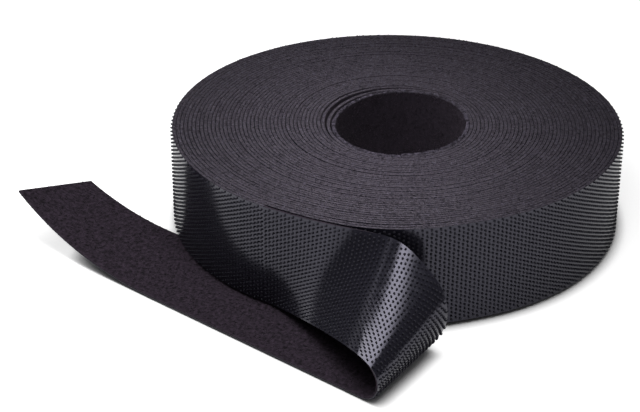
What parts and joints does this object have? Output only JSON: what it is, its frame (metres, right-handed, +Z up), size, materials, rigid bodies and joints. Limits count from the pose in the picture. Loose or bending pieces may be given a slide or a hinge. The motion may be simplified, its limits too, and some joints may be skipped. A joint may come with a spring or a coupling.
{
  "type": "hook and loop tape roll",
  "caption": "Coreless roll of back-to-back hook and loop tape lying flat, its tail peeled off, folded over and laid loop side up under the rim, with the cut end curling up.",
  "frame": {"origin": "centre of the whole object's box, on the floor that the tape lies on", "axes": "+Z up, +X to the right and +Y away from the viewer in the picture; the roll's axis leans 0.7 degrees from +Z over the laid tail"},
  "size_m": [0.1482, 0.1418, 0.0266],
  "materials": {
    "hook_film": "moulded black film with rows of hooks on its outer face, glossy between them",
    "loop_fabric": "brushed black knit with a low pile of loops, matt"
  },
  "bodies": {
    "roll": {"wound_hook_film": "hook_film", "wound_loop_fabric": "loop_fabric", "tail_hook_film": "hook_film", "tail_loop_fabric": "loop_fabric"},
    "free_end": {"free_end_hook_film": "hook_film", "free_end_loop_fabric": "loop_fabric"}
  },
  "joints": [
    {"name": "free_end_lift", "type": "hinge", "parent": "roll", "child": "free_end", "pos_m": [-0.0387, -0.0103, 0.0009], "axis": [0.0862, 0.9963, 0], "range_deg": [0, 70], "stiffness_Nm_per_rad": 0.004}
  ]
}
